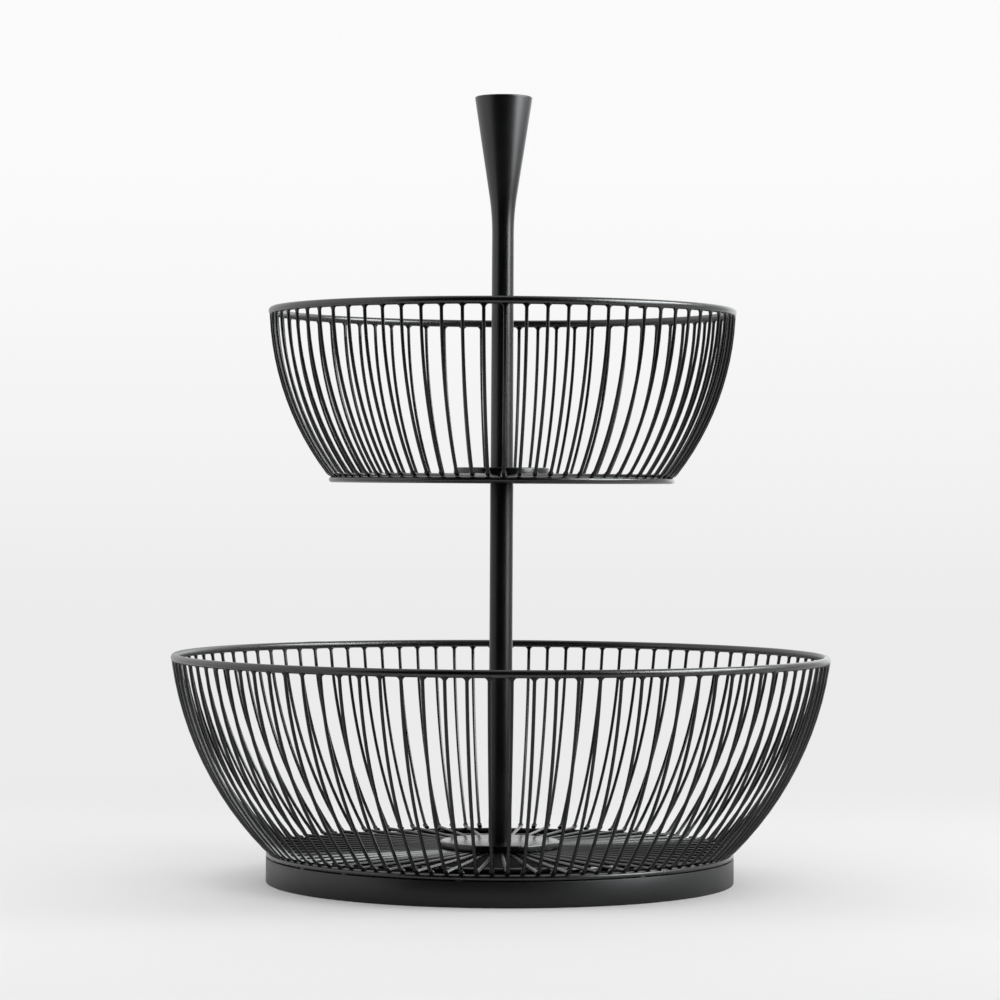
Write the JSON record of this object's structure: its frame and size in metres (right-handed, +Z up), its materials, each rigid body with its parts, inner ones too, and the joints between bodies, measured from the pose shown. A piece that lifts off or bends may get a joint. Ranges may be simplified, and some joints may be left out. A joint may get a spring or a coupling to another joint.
{
  "type": "tiered wire basket",
  "caption": "Tiered wire fruit basket in black coated steel: a wide bowl on a band base, a smaller bowl above it on a centre post, and a flared handle on top.",
  "frame": {"origin": "middle of the base band's underside, on the table", "axes": "+Z up along the post and handle, -Y towards the camera of the picture, +X to its right"},
  "size_m": [0.3422, 0.3422, 0.4079],
  "materials": {
    "black_coat": "satin powder coat"
  },
  "bodies": {
    "root": {"base_band": "black_coat", "lower_bottom_ring": "black_coat", "lower_floor_ring": "black_coat", "lower_rim": "black_coat", "lower_long_ribs_1": "black_coat", "lower_long_ribs_2": "black_coat", "lower_long_ribs_3": "black_coat", "lower_long_ribs_4": "black_coat", "lower_long_ribs_5": "black_coat", "lower_long_ribs_6": "black_coat", "lower_long_ribs_7": "black_coat", "lower_long_ribs_8": "black_coat", "lower_long_ribs_9": "black_coat", "lower_long_ribs_10": "black_coat", "lower_short_ribs_1": "black_coat", "lower_short_ribs_2": "black_coat", "lower_short_ribs_3": "black_coat", "lower_short_ribs_4": "black_coat", "lower_short_ribs_5": "black_coat", "lower_short_ribs_6": "black_coat", "lower_short_ribs_7": "black_coat", "lower_short_ribs_8": "black_coat", "lower_short_ribs_9": "black_coat", "lower_short_ribs_10": "black_coat", "lower_hub_plate": "black_coat", "post": "black_coat", "upper_bottom_ring": "black_coat", "upper_rim": "black_coat", "upper_long_ribs_1": "black_coat", "upper_long_ribs_2": "black_coat", "upper_long_ribs_3": "black_coat", "upper_long_ribs_4": "black_coat", "upper_long_ribs_5": "black_coat", "upper_long_ribs_6": "black_coat", "upper_long_ribs_7": "black_coat", "upper_long_ribs_8": "black_coat", "upper_long_ribs_9": "black_coat", "upper_short_ribs_1": "black_coat", "upper_short_ribs_2": "black_coat", "upper_short_ribs_3": "black_coat", "upper_short_ribs_4": "black_coat", "upper_short_ribs_5": "black_coat", "upper_short_ribs_6": "black_coat", "upper_short_ribs_7": "black_coat", "upper_short_ribs_8": "black_coat", "upper_short_ribs_9": "black_coat", "upper_hub_plate": "black_coat", "handle": "black_coat"}
  },
  "joints": []
}
